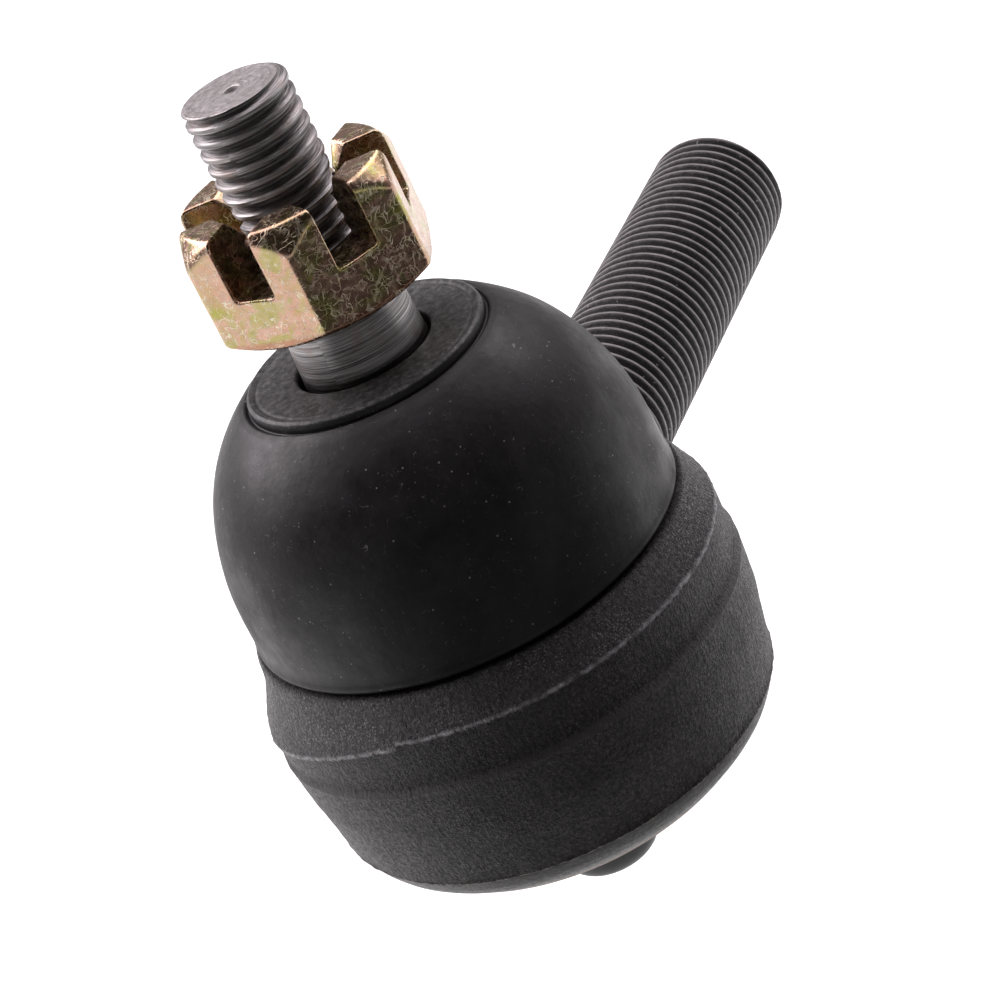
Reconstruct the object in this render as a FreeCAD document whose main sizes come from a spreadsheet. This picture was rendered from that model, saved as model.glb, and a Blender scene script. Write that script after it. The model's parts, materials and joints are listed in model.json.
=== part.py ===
import FreeCAD, Part
import math
import os
import Sketcher

# Tie rod end with a greasable ball joint. Millimetres.
# +Z runs up the ball stud, +X runs out along the threaded shank, and the origin is the centre of the ball.
# Names of sizes: _r is a radius, _z a height above the ball's centre, _x a distance out along the shank.

SIZES = {
    "ball_r": 12.0,
    "ball_flat_z": -10.7,
    "ball_gap": 0.1,
    "neck_r": 5.6,
    "neck_top_z": 16.5,
    "taper_low_z": 20.0,
    "taper_low_r": 6.98,
    "taper_ratio": 8.0,
    "taper_top_z": 38.0,
    "stud_thread_r": 4.95,
    "stud_thread_pitch": 1.5,
    "stud_grooves": 13,
    "stud_first_groove_z": 39.8,
    "stud_end_z": 59.4,
    "stud_end_r": 4.8,
    "stud_chamfer": 0.4,
    "centre_mark_r": 0.7,
    "pin_hole_r": 1.3,
    "pin_hole_z": 47.2,
    "socket_r": 16.2,
    "mouth_r": 11.8,
    "mouth_top_r": 13.4,
    "collar_r": 19.2,
    "collar_top_z": 12.6,
    "collar_chamfer": 1.2,
    "shoulder_r": 22.6,
    "shoulder_z": 7.9,
    "edge_r": 24.25,
    "edge_z": 4.1,
    "belt_r": 24.75,
    "belt_z": -1.6,
    "rim_r": 23.35,
    "rim_z": -13.8,
    "rim_step": 0.3,
    "lip_r": 19.6,
    "lip_z": -18.2,
    "lip_curve_r": 7.4,
    "lip_edge_r": 17.2,
    "plate_r": 18.5,
    "plate_top_z": -14.2,
    "plate_thickness": 1.8,
    "plate_dish": 1.2,
    "plate_dish_r": 11.0,
    "shank_thread_r": 7.93,
    "shank_thread_pitch": 1.5,
    "shank_grooves": 33,
    "shank_first_groove_x": 31.2,
    "shank_end_x": 81.2,
    "shank_chamfer": 1.1,
    "shank_start_x": 18.6,
    "neck_shank_r": 7.6,
    "root_half_width": 12.5,
    "root_half_height": 8.6,
    "root_drop": 1.6,
    "root_end_x": 29.0,
    "root_end_r": 7.55,
    "seat_fit": 0.04,
    "seat_split": 0.25,
    "seat_mouth_angle": 50.0,
    "seat_mouth_outer_angle": 48.5,
    "seat_bottom_z": -12.4,
    "seat_hole_r": 5.5,
    "seat_chamfer": 1.1,
    "disc_inner_r": 7.0,
    "disc_outer_r": 13.0,
    "disc_thickness": 0.9,
    "disc_rise": 0.8,
    "contact_gap": 0.03,
    "boot_foot_r": 22.4,
    "boot_waist_r": 22.0,
    "boot_waist_z": 13.2,
    "boot_shoulder_r": 20.5,
    "boot_shoulder_z": 20.9,
    "boot_side_curve_r": 34.0,
    "boot_dome_curve_r": 27.0,
    "boot_lip_r": 11.7,
    "boot_lip_z": 31.6,
    "boot_wall": 2.2,
    "boot_lip_thickness": 3.2,
    "boot_hole_r": 6.75,
    "boot_foot_gap": 0.05,
    "boot_recess_land": 0.9,
    "lip_ring_inner_r": 8.3,
    "lip_ring_outer_r": 10.5,
    "lip_ring_low_z": 28.5,
    "lip_ring_thickness": 1.4,
    "ring_gap": 0.1,
    "base_ring_thickness": 0.95,
    "base_ring_low_z": 8.3,
    "base_ring_height": 3.7,
    "nut_across_flats": 20.2,
    "nut_height": 11.25,
    "nut_low_z": 38.1,
    "nut_clocking": 24.0,
    "nut_bore_r": 5.03,
    "nut_slot_width": 4.4,
    "nut_slot_floor": 5.5,
    "nut_crown_r": 9.6,
    "nut_crown_drop": 2.5,
    "nut_foot_r": 9.5,
    "nut_foot_rise": 1.15,
    "nut_countersink_r": 6.9,
    "nut_countersink_depth": 2.6,
    "nut_relief_r": 5.9,
    "nut_relief_depth": 0.9,
    "fitting_thread_r": 3.0,
    "fitting_top_z": -14.9,
    "fitting_hex_across_flats": 8.0,
    "fitting_hex_thickness": 3.0,
    "fitting_neck_r": 2.35,
    "fitting_head_r": 3.2,
    "fitting_head_z": -27.0,
    "fitting_head_height": 0.7,
    "fitting_shoulder_height": 0.7,
    "fitting_tip_r": 1.9,
    "fitting_tip_z": -28.4,
    "fitting_bore_r": 1.25,
    "fitting_hex_bore_r": 1.75,
    "fitting_port_r": 0.8,
    "fitting_seat_z": -27.1,
    "fitting_seat_rise": 0.45,
    "fitting_lip_z": -15.7,
    "check_ball_r": 1.05,
    "check_ball_z": -26.35,
    "check_spring_r": 0.85,
    "check_spring_wire_r": 0.16,
    "check_spring_turns": 11,
    "cap_r": 5.3,
    "cap_bore_r": 3.6,
    "cap_top_z": -22.6,
    "cap_low_z": -30.4,
    "cap_round_r": 1.9,
    "cap_floor_z": -28.9,
    "cut_over": 1.0,
}

SHEET = "dims"
GROOVE_LAND_SHARE = 0.25
GROOVE_ROOT_SHARE = 0.12
THREAD_FLANK_ANGLE = 30.0

doc = FreeCAD.newDocument("tie_rod_end")


def make_sheet():
    """The spreadsheet that drives every sub-part, one row for each size."""
    sheet = doc.addObject("Spreadsheet::Sheet", SHEET)
    for row, (name, size) in enumerate(SIZES.items(), start=1):
        sheet.set(f"A{row}", name)
        sheet.set(f"B{row}", str(size))
        sheet.setAlias(f"B{row}", name)
    doc.recompute()
    return sheet


sheet = make_sheet()


def bound(expression):
    """An expression in size names, turned into one that an object outside the sheet can use."""
    out = []
    word = ""
    for letter in expression + " ":
        if letter.isalnum() or letter == "_":
            word += letter
            continue
        out.append(f"{SHEET}.{word}" if word in SIZES else word)
        word = ""
        out.append(letter)
    return "".join(out).strip()


def measure(expression):
    """The number that an expression in size names works out to."""
    found = sheet.evalExpression(bound(expression).replace(f"{SHEET}.", ""))
    return float(getattr(found, "Value", found))


def drive(owner, **properties):
    """Binds an object's properties to expressions in the sheet's size names."""
    for name, expression in properties.items():
        owner.setExpression(name, bound(expression))


def new_body(name):
    body = doc.addObject("PartDesign::Body", name)
    body.Label = name
    return body


def origin_plane(body, role):
    return next(f for f in body.Origin.OriginFeatures if f.Role == role)


def new_sketch(body, name, role="XZ_Plane"):
    sketch = body.newObject("Sketcher::SketchObject", name)
    sketch.AttachmentSupport = [(origin_plane(body, role), "")]
    sketch.MapMode = "FlatFace"
    return sketch


def pin_point(sketch, edge, end, corner):
    """Holds one end of an edge at a corner, which is two expressions in the sheet's size names."""
    for kind, expression in zip(("DistanceX", "DistanceY"), corner):
        number = sketch.addConstraint(Sketcher.Constraint(kind, -1, 1, edge, end, measure(expression)))
        sketch.setExpression(f"Constraints[{number}]", bound(expression))


def arc_between(start, end, radius, side):
    """The arc of a given radius from start to end, with its centre to the left (side 1) or right (-1)."""
    middle = (start + end) * 0.5
    chord = end - start
    across = FreeCAD.Vector(-chord.y, chord.x, 0).normalize() * side
    centre = middle + across * math.sqrt(radius**2 - (chord.Length / 2) ** 2)
    circle = Part.Circle(centre, FreeCAD.Vector(0, 0, 1), radius)
    first, last = (start, end) if side > 0 else (end, start)
    return Part.ArcOfCircle(circle, circle.parameter(first), circle.parameter(last))


def outline(sketch, corners, arcs=None):
    """A closed outline through corners, each corner a pair of expressions.
    arcs says which edges are round: the edge's first corner, its radius and its centre's side."""
    arcs = arcs or {}
    points = [FreeCAD.Vector(measure(x), measure(y), 0) for x, y in corners]
    for i, corner in enumerate(corners):
        following = points[(i + 1) % len(points)]
        if i in arcs:
            radius, side = arcs[i]
            curve = arc_between(points[i], following, measure(radius), side)
            edge = sketch.addGeometry(curve, False)
            first, last = (1, 2) if side > 0 else (2, 1)
            number = sketch.addConstraint(Sketcher.Constraint("Radius", edge, measure(radius)))
            sketch.setExpression(f"Constraints[{number}]", bound(radius))
        else:
            edge = sketch.addGeometry(Part.LineSegment(points[i], following), False)
            first, last = 1, 2
        pin_point(sketch, edge, first, corner)
        pin_point(sketch, edge, last, corners[(i + 1) % len(corners)])
    return sketch


def revolve(body, name, corners, arcs=None, axis="V_Axis", kind="PartDesign::Revolution"):
    """Turns an outline in the XZ plane about Z (V_Axis) or X (H_Axis), to add it or to groove it out."""
    sketch = outline(new_sketch(body, name + "_outline"), corners, arcs)
    feature = body.newObject(kind, name)
    feature.Profile = sketch
    feature.ReferenceAxis = (sketch, [axis])
    feature.Angle = 360
    body.Tip = feature
    doc.recompute()
    return feature


def groove_row(body, name, mouth, radius, pitch, count, axis):
    """A row of ring grooves that gives a shaft its thread's crests: mouth is the first groove's place."""
    half = f"{pitch} * {(1 - GROOVE_LAND_SHARE) / 2}"
    root = f"{pitch} * {GROOVE_ROOT_SHARE / 2}"
    depth = f"({half} - {root}) / tan({THREAD_FLANK_ANGLE} deg)"
    over = f"{radius} + cut_over"
    stations = [(f"{mouth} - {half}", over), (f"{mouth} - {half}", radius),
                (f"{mouth} - {root}", f"{radius} - {depth}"), (f"{mouth} + {root}", f"{radius} - {depth}"),
                (f"{mouth} + {half}", radius), (f"{mouth} + {half}", over)]
    corners = [(out, along) for along, out in stations] if axis == "V_Axis" else stations
    before = body.Shape.Volume
    groove = revolve(body, name, corners, axis=axis, kind="PartDesign::Groove")
    row = body.newObject("PartDesign::LinearPattern", name + "_row")
    row.Originals = [groove]
    row.Direction = (groove.Profile[0], [axis])
    row.Mode = "Spacing"
    drive(row, Offset=pitch, Occurrences=count)
    body.Tip = row
    doc.recompute()
    if before - body.Shape.Volume < 1:
        raise RuntimeError(f"{name} cut nothing")
    return row


def make_housing():
    """Forged socket and threaded shank in one piece, with a lip rolled over the cover plate."""
    body = new_body("housing")
    plate_low = "plate_top_z - plate_thickness"
    corners = [
        ("mouth_r", "sqrt(socket_r^2 - mouth_r^2)"),
        ("socket_r", "0"),
        ("socket_r", "plate_top_z"),
        ("plate_r", "plate_top_z"),
        ("plate_r", plate_low),
        ("lip_edge_r", plate_low),
        ("lip_edge_r", "lip_z"),
        ("lip_r", "lip_z"),
        ("rim_r - rim_step", "rim_z"),
        ("rim_r", "rim_z"),
        ("belt_r", "belt_z"),
        ("edge_r", "edge_z"),
        ("shoulder_r", "shoulder_z"),
        ("collar_r", "shoulder_z"),
        ("collar_r", "collar_top_z - collar_chamfer"),
        ("collar_r - collar_chamfer", "collar_top_z"),
        ("mouth_top_r", "collar_top_z"),
    ]
    revolve(body, "socket", corners, {0: ("socket_r", -1), 7: ("lip_curve_r", 1)})
    shank = [
        ("shank_start_x", "0"),
        ("shank_end_x", "0"),
        ("shank_end_x", "shank_thread_r - shank_chamfer"),
        ("shank_end_x - shank_chamfer", "shank_thread_r"),
        ("shank_first_groove_x - shank_thread_pitch", "shank_thread_r"),
        ("shank_first_groove_x - shank_thread_pitch * 1.5", "neck_shank_r"),
        ("shank_start_x", "neck_shank_r"),
    ]
    revolve(body, "shank", shank, axis="H_Axis")
    groove_row(body, "shank_thread", "shank_first_groove_x", "shank_thread_r", "shank_thread_pitch",
               "shank_grooves", "H_Axis")
    add_shank_root(body)
    return body


def add_shank_root(body):
    """The forged root where the socket runs out into the shank: an oval that narrows to the round neck."""
    oval = new_sketch(body, "root_oval", "YZ_Plane")
    drive(oval, **{".AttachmentOffset.Base.z": "shank_start_x"})
    oval.addGeometry(Part.Ellipse(FreeCAD.Vector(0, -measure("root_drop"), 0), measure("root_half_width"),
                                  measure("root_half_height")), False)
    for kind, end, expression in (("DistanceX", 3, "0"), ("DistanceY", 3, "-root_drop")):
        number = oval.addConstraint(Sketcher.Constraint(kind, -1, 1, 0, end, measure(expression)))
        oval.setExpression(f"Constraints[{number}]", bound(expression))
    ring = new_sketch(body, "root_ring", "YZ_Plane")
    drive(ring, **{".AttachmentOffset.Base.z": "root_end_x"})
    ring.addGeometry(Part.Circle(FreeCAD.Vector(), FreeCAD.Vector(0, 0, 1), measure("root_end_r")), False)
    ring.addConstraint(Sketcher.Constraint("Coincident", 0, 3, -1, 1))
    number = ring.addConstraint(Sketcher.Constraint("Radius", 0, measure("root_end_r")))
    ring.setExpression(f"Constraints[{number}]", bound("root_end_r"))
    doc.recompute()
    root = body.newObject("PartDesign::AdditiveLoft", "shank_root")
    root.Profile = oval
    root.Sections = [ring]
    body.Tip = root
    doc.recompute()


def make_ball_stud():
    """Ball, neck, taper and thread in one turned piece, with a cross hole for a split pin."""
    body = new_body("ball_stud")
    ball_top_z = "sqrt(ball_r^2 - neck_r^2)"
    taper_top_r = "taper_low_r - (taper_top_z - taper_low_z) / (2 * taper_ratio)"
    corners = [
        ("0", "ball_flat_z"),
        ("sqrt(ball_r^2 - ball_flat_z^2)", "ball_flat_z"),
        ("neck_r", ball_top_z),
        ("neck_r", "neck_top_z"),
        ("taper_low_r", "taper_low_z"),
        (taper_top_r, "taper_top_z"),
        ("stud_thread_r", "taper_top_z"),
        ("stud_thread_r", "stud_end_z - stud_chamfer"),
        ("stud_end_r", "stud_end_z"),
        ("centre_mark_r", "stud_end_z"),
        ("0", "stud_end_z - centre_mark_r"),
    ]
    revolve(body, "turned_stud", corners, {1: ("ball_r", 1)})
    groove_row(body, "stud_thread", "stud_first_groove_z", "stud_thread_r", "stud_thread_pitch",
               "stud_grooves", "V_Axis")
    add_pin_hole(body)
    return body


def add_pin_hole(body):
    """The split pin's cross hole, in line with two of the nut's slots."""
    before = body.Shape.Volume
    sketch = new_sketch(body, "pin_hole_outline", "XZ_Plane")
    turn = FreeCAD.Rotation(FreeCAD.Vector(0, 1, 0), measure("nut_clocking"))
    sketch.AttachmentOffset = FreeCAD.Placement(FreeCAD.Vector(), turn)
    drive(sketch, **{".AttachmentOffset.Rotation.Angle": "nut_clocking * 1deg"})
    sketch.addGeometry(Part.Circle(FreeCAD.Vector(0, measure("pin_hole_z"), 0), FreeCAD.Vector(0, 0, 1),
                                   measure("pin_hole_r")), False)
    sketch.addConstraint(Sketcher.Constraint("PointOnObject", 0, 3, -2))
    number = sketch.addConstraint(Sketcher.Constraint("DistanceY", -1, 1, 0, 3, measure("pin_hole_z")))
    sketch.setExpression(f"Constraints[{number}]", bound("pin_hole_z"))
    number = sketch.addConstraint(Sketcher.Constraint("Radius", 0, measure("pin_hole_r")))
    sketch.setExpression(f"Constraints[{number}]", bound("pin_hole_r"))
    hole = body.newObject("PartDesign::Pocket", "pin_hole")
    hole.Profile = sketch
    hole.Midplane = True
    hole.Type = 0
    drive(hole, Length="4 * stud_thread_r")
    body.Tip = hole
    doc.recompute()
    if before - body.Shape.Volume < 1:
        raise RuntimeError("the pin hole cut nothing")


def make_upper_seat():
    """Upper half of the plastic bearing, between the ball and the socket's dome."""
    body = new_body("upper_bearing_seat")
    inner = "(ball_r + ball_gap)"
    outer = "(socket_r - seat_fit)"
    corners = [
        (f"{inner} * sin(seat_mouth_angle * 1deg)", f"{inner} * cos(seat_mouth_angle * 1deg)"),
        (f"sqrt({inner}^2 - seat_split^2)", "seat_split"),
        (outer, "seat_split"),
        (f"{outer} * sin(seat_mouth_outer_angle * 1deg)", f"{outer} * cos(seat_mouth_outer_angle * 1deg)"),
    ]
    revolve(body, "upper_seat", corners, {0: (inner, -1), 2: (outer, 1)})
    return body


def make_lower_seat():
    """Lower half of the plastic bearing, pushed up against the ball by the disc spring."""
    body = new_body("lower_bearing_seat")
    inner = "(ball_r + ball_gap)"
    outer = "(socket_r - seat_fit)"
    corners = [
        (f"sqrt({inner}^2 - seat_split^2)", "-seat_split"),
        ("seat_hole_r", f"-sqrt({inner}^2 - seat_hole_r^2)"),
        ("seat_hole_r", "seat_bottom_z"),
        (f"{outer} - seat_chamfer", "seat_bottom_z"),
        (outer, "seat_bottom_z + seat_chamfer"),
        (outer, "-seat_split"),
    ]
    revolve(body, "lower_seat", corners, {0: (inner, -1)})
    return body


def make_preload_spring():
    """Coned disc spring between the lower seat and the cover plate."""
    body = new_body("preload_spring")
    top = "seat_bottom_z - contact_gap"
    corners = [
        ("disc_inner_r", top),
        ("disc_inner_r", f"{top} - disc_thickness"),
        ("disc_outer_r", f"{top} - disc_rise - disc_thickness"),
        ("disc_outer_r", f"{top} - disc_rise"),
    ]
    revolve(body, "disc", corners)
    return body


def make_cover_plate():
    """Pressed steel plate that closes the socket, dished outwards round the grease fitting's hole."""
    body = new_body("cover_plate")
    low = "(plate_top_z - plate_thickness)"
    corners = [
        ("fitting_thread_r + contact_gap", "plate_top_z - plate_dish"),
        ("fitting_thread_r + contact_gap", f"{low} - plate_dish"),
        ("plate_dish_r - plate_dish", f"{low} - plate_dish"),
        ("plate_dish_r", f"{low} + contact_gap"),
        ("plate_r - contact_gap", f"{low} + contact_gap"),
        ("plate_r - contact_gap", "plate_top_z - contact_gap"),
        ("plate_dish_r + plate_dish", "plate_top_z - contact_gap"),
        ("plate_dish_r", "plate_top_z - plate_dish"),
    ]
    revolve(body, "plate", corners)
    return body


def make_dust_boot():
    """Rubber dome that keeps the grease in, from the socket's collar up to its flat lip round the taper."""
    body = new_body("dust_boot")
    foot_z = "(shoulder_z + boot_foot_gap)"
    step_r = "(collar_r + contact_gap * 2 + base_ring_thickness + ring_gap)"
    ring_top = "(base_ring_low_z + base_ring_height + ring_gap)"
    under = "(boot_lip_z - boot_lip_thickness)"
    recess_top = "(lip_ring_low_z + lip_ring_thickness + ring_gap)"
    corners = [
        ("collar_r + contact_gap * 2", foot_z),
        ("boot_foot_r", foot_z),
        ("boot_waist_r", "boot_waist_z"),
        ("boot_shoulder_r", "boot_shoulder_z"),
        ("boot_lip_r", "boot_lip_z"),
        ("boot_hole_r", "boot_lip_z"),
        ("boot_hole_r", under),
        ("lip_ring_inner_r - ring_gap", under),
        ("lip_ring_inner_r - ring_gap", recess_top),
        ("lip_ring_outer_r + ring_gap", recess_top),
        ("lip_ring_outer_r + ring_gap", under),
        ("lip_ring_outer_r + ring_gap + boot_recess_land", under),
        ("boot_shoulder_r - boot_wall", "boot_shoulder_z - boot_wall / 2"),
        ("boot_waist_r - boot_wall", "boot_waist_z"),
        (step_r, ring_top),
        (step_r, "base_ring_low_z - ring_gap"),
        ("collar_r + contact_gap * 2", "base_ring_low_z - ring_gap"),
    ]
    arcs = {
        2: ("boot_side_curve_r", 1),
        3: ("boot_dome_curve_r", 1),
        11: ("boot_dome_curve_r", -1),
        12: ("boot_side_curve_r", -1),
    }
    revolve(body, "dome", corners, arcs)
    return body


def make_ring(name, inner, outer, low, high):
    """A plain ring of rectangular section."""
    body = new_body(name)
    revolve(body, name + "_turned", [(inner, low), (outer, low), (outer, high), (inner, high)])
    return body


def hexagon(sketch, across_flats):
    """A hexagon centred on the sketch's origin, with a corner on its first axis, sized across its flats."""
    corner = measure(across_flats) / math.sqrt(3)
    points = [FreeCAD.Vector(corner * math.cos(i * math.pi / 3), corner * math.sin(i * math.pi / 3), 0)
              for i in range(6)]
    for i in range(6):
        sketch.addGeometry(Part.LineSegment(points[i], points[(i + 1) % 6]), False)
    for i in range(6):
        angle = f"({i} * 60deg)"
        corner_r = f"({across_flats} / sqrt(3))"
        place = (f"{corner_r} * cos{angle}", f"{corner_r} * sin{angle}")
        pin_point(sketch, i, 1, place)
        sketch.addConstraint(Sketcher.Constraint("Coincident", i, 1, (i - 1) % 6, 2))
    return sketch


def make_castle_nut():
    """Slotted hexagon nut: crown turned to a cone, six slots through the flats, countersunk bore."""
    body = new_body("castle_nut")
    sketch = hexagon(new_sketch(body, "hexagon_outline", "XY_Plane"), "nut_across_flats")
    pad = body.newObject("PartDesign::Pad", "hexagon")
    pad.Profile = sketch
    drive(pad, Length="nut_height")
    body.Tip = pad
    doc.recompute()
    corner = "nut_across_flats / sqrt(3)"
    beyond = f"({corner} + cut_over)"
    crown_slope = f"nut_crown_drop / ({corner} - nut_crown_r)"
    crown = [
        ("nut_crown_r", "nut_height"),
        (beyond, f"nut_height - ({beyond} - nut_crown_r) * {crown_slope}"),
        (beyond, "nut_height + cut_over"),
        ("nut_crown_r", "nut_height + cut_over"),
    ]
    revolve(body, "crown", crown, kind="PartDesign::Groove")
    foot_slope = f"nut_foot_rise / ({corner} - nut_foot_r)"
    foot = [
        ("nut_foot_r", "0"),
        ("nut_foot_r", "-cut_over"),
        (beyond, "-cut_over"),
        (beyond, f"({beyond} - nut_foot_r) * {foot_slope}"),
    ]
    revolve(body, "foot", foot, kind="PartDesign::Groove")
    bore = [
        ("0", "-cut_over"),
        ("nut_relief_r", "-cut_over"),
        ("nut_relief_r", "0"),
        ("nut_bore_r", "nut_relief_depth"),
        ("nut_bore_r", "nut_height - nut_countersink_depth"),
        ("nut_countersink_r", "nut_height"),
        ("nut_countersink_r", "nut_height + cut_over"),
        ("0", "nut_height + cut_over"),
    ]
    revolve(body, "bore", bore, kind="PartDesign::Groove")
    add_nut_slots(body)
    place_nut(body)
    return body


def add_nut_slots(body):
    """Three cuts right through the crown, across opposite flats, make the six slots."""
    before = body.Shape.Volume
    sketch = new_sketch(body, "slot_outline", "XZ_Plane")
    half = "nut_slot_width / 2"
    outline(sketch, [(f"-{half}", "nut_slot_floor"), (half, "nut_slot_floor"),
                     (half, "nut_height + cut_over"), (f"-{half}", "nut_height + cut_over")])
    slot = body.newObject("PartDesign::Pocket", "slot")
    slot.Profile = sketch
    slot.Midplane = True
    slot.Type = 0
    drive(slot, Length="2 * nut_across_flats")
    doc.recompute()
    slots = body.newObject("PartDesign::PolarPattern", "slots")
    slots.Originals = [slot]
    slots.Axis = (sketch, ["V_Axis"])
    slots.Angle = 360
    slots.Occurrences = 3
    body.Tip = slots
    doc.recompute()
    if before - body.Shape.Volume < 1:
        raise RuntimeError("the nut's slots cut nothing")


def place_nut(body):
    drive(body, **{".Placement.Base.z": "nut_low_z", ".Placement.Rotation.Angle": "nut_clocking * 1deg"})


def make_grease_fitting():
    """Straight grease fitting: thread, spanner hexagon and rounded head, bored for its check ball."""
    body = new_body("grease_fitting_body")
    hex_top = "(plate_top_z - plate_thickness - plate_dish - contact_gap)"
    hex_low = f"({hex_top} - fitting_hex_thickness)"
    corners = [
        ("fitting_port_r", "fitting_top_z"),
        ("fitting_port_r", "fitting_lip_z"),
        ("fitting_bore_r", "fitting_lip_z"),
        ("fitting_bore_r", "fitting_seat_z + fitting_seat_rise"),
        ("fitting_port_r", "fitting_seat_z"),
        ("fitting_port_r", "fitting_tip_z"),
        ("fitting_tip_r", "fitting_tip_z"),
        ("fitting_head_r", "fitting_head_z"),
        ("fitting_head_r", "fitting_head_z + fitting_head_height"),
        ("fitting_neck_r", "fitting_head_z + fitting_head_height + fitting_shoulder_height"),
        ("fitting_neck_r", hex_low),
        ("fitting_thread_r", hex_low),
        ("fitting_thread_r", "fitting_top_z"),
    ]
    revolve(body, "fitting", corners)
    sketch = new_sketch(body, "fitting_hexagon_outline", "XY_Plane")
    drive(sketch, **{".AttachmentOffset.Base.z": hex_low})
    hexagon(sketch, "fitting_hex_across_flats")
    circle = Part.Circle(FreeCAD.Vector(), FreeCAD.Vector(0, 0, 1), measure("fitting_hex_bore_r"))
    sketch.addGeometry(circle, False)
    sketch.addConstraint(Sketcher.Constraint("Coincident", 6, 3, -1, 1))
    number = sketch.addConstraint(Sketcher.Constraint("Radius", 6, measure("fitting_hex_bore_r")))
    sketch.setExpression(f"Constraints[{number}]", bound("fitting_hex_bore_r"))
    pad = body.newObject("PartDesign::Pad", "fitting_hexagon")
    pad.Profile = sketch
    drive(pad, Length="fitting_hex_thickness")
    body.Tip = pad
    doc.recompute()
    return body


def make_check_ball():
    """The steel ball that lets grease in through the fitting and not back out."""
    ball = doc.addObject("Part::Sphere", "grease_check_ball")
    ball.Label = "grease_check_ball"
    drive(ball, Radius="check_ball_r", **{".Placement.Base.z": "check_ball_z"})
    return ball


def make_check_spring():
    """The coil spring above the check ball, held by the fitting's turned-in edge."""
    body = new_body("grease_check_spring")
    low = "check_ball_z + check_ball_r + check_spring_wire_r + contact_gap"
    sketch = new_sketch(body, "wire_outline")
    sketch.addGeometry(Part.Circle(FreeCAD.Vector(measure("check_spring_r"), measure(low), 0),
                                   FreeCAD.Vector(0, 0, 1), measure("check_spring_wire_r")), False)
    pin_point(sketch, 0, 3, ("check_spring_r", low))
    number = sketch.addConstraint(Sketcher.Constraint("Radius", 0, measure("check_spring_wire_r")))
    sketch.setExpression(f"Constraints[{number}]", bound("check_spring_wire_r"))
    coil = body.newObject("PartDesign::AdditiveHelix", "coil")
    coil.Profile = sketch
    coil.ReferenceAxis = (sketch, ["V_Axis"])
    coil.Mode = 1
    height = f"(fitting_lip_z - check_spring_wire_r - contact_gap - ({low}))"
    drive(coil, Height=height, Turns="check_spring_turns", Pitch=f"{height} / check_spring_turns")
    body.Tip = coil
    doc.recompute()
    return body


def make_cap():
    """Push-on rubber cap over the grease fitting's head."""
    body = new_body("grease_fitting_cap")
    corners = [
        ("cap_bore_r", "cap_top_z"),
        ("cap_bore_r", "cap_floor_z"),
        ("0", "cap_floor_z"),
        ("0", "cap_low_z"),
        ("cap_r - cap_round_r", "cap_low_z"),
        ("cap_r", "cap_low_z + cap_round_r"),
        ("cap_r", "cap_top_z"),
    ]
    revolve(body, "cap", corners, {4: ("cap_round_r", 1)})
    return body


def make_rings():
    """The two steel rings that stiffen the boot: one at its foot, one under its lip."""
    base = make_ring(
        "boot_base_ring",
        "collar_r + contact_gap * 2",
        "collar_r + contact_gap * 2 + base_ring_thickness",
        "base_ring_low_z",
        "base_ring_low_z + base_ring_height",
    )
    lip = make_ring(
        "boot_lip_ring",
        "lip_ring_inner_r",
        "lip_ring_outer_r",
        "lip_ring_low_z",
        "lip_ring_low_z + lip_ring_thickness",
    )
    return [base, lip]


def check(parts):
    """Stops if any object failed to recompute or any sub-part is not one valid solid."""
    for made in doc.Objects:
        if {"Invalid", "Error"} & set(made.State):
            raise RuntimeError(f"{made.Name} failed: {made.State}")
    for part in parts:
        shape = part.Shape
        if shape.isNull() or not shape.isValid() or len(shape.Solids) != 1:
            raise RuntimeError(f"{part.Label} is not one valid solid")


def main():
    parts = [
        make_housing(),
        make_upper_seat(),
        make_lower_seat(),
        make_preload_spring(),
        make_cover_plate(),
        make_ball_stud(),
        make_castle_nut(),
        make_dust_boot(),
        *make_rings(),
        make_grease_fitting(),
        make_check_ball(),
        make_check_spring(),
        make_cap(),
    ]
    doc.recompute()
    check(parts)
    os.makedirs("parts", exist_ok=True)
    for part in parts:
        part.Shape.exportStep(f"parts/{part.Label}.step")
        box = part.Shape.BoundBox
        print(part.Label, round(part.Shape.Volume, 1), round(box.ZMin, 2), round(box.ZMax, 2))


main()
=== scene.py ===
import json
import math

import bmesh
import bpy
import numpy as np
from mathutils import Matrix, Vector, noise


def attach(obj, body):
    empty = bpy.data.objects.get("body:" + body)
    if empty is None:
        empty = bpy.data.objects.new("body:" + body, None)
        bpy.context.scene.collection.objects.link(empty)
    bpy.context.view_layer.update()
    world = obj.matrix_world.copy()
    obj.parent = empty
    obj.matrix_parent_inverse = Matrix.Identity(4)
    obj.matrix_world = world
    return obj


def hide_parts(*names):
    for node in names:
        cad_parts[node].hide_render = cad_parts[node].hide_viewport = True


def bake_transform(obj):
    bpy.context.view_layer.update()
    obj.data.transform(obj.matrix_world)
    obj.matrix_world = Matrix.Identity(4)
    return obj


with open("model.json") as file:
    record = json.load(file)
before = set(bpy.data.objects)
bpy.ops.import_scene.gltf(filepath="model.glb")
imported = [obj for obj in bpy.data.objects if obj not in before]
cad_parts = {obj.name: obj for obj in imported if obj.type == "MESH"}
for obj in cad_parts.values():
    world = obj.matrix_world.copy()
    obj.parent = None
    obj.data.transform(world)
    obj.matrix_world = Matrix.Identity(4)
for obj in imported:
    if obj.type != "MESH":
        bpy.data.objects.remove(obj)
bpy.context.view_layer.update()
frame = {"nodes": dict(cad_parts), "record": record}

# Tie rod end. Lengths below are in millimetres unless a name says otherwise. +Z runs up the stud and +X out
# along the shank, and the origin is the centre of the ball.

MM = 0.001
TAN_30 = math.tan(math.radians(30))


# ---------------------------------------------------------------- meshes

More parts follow.
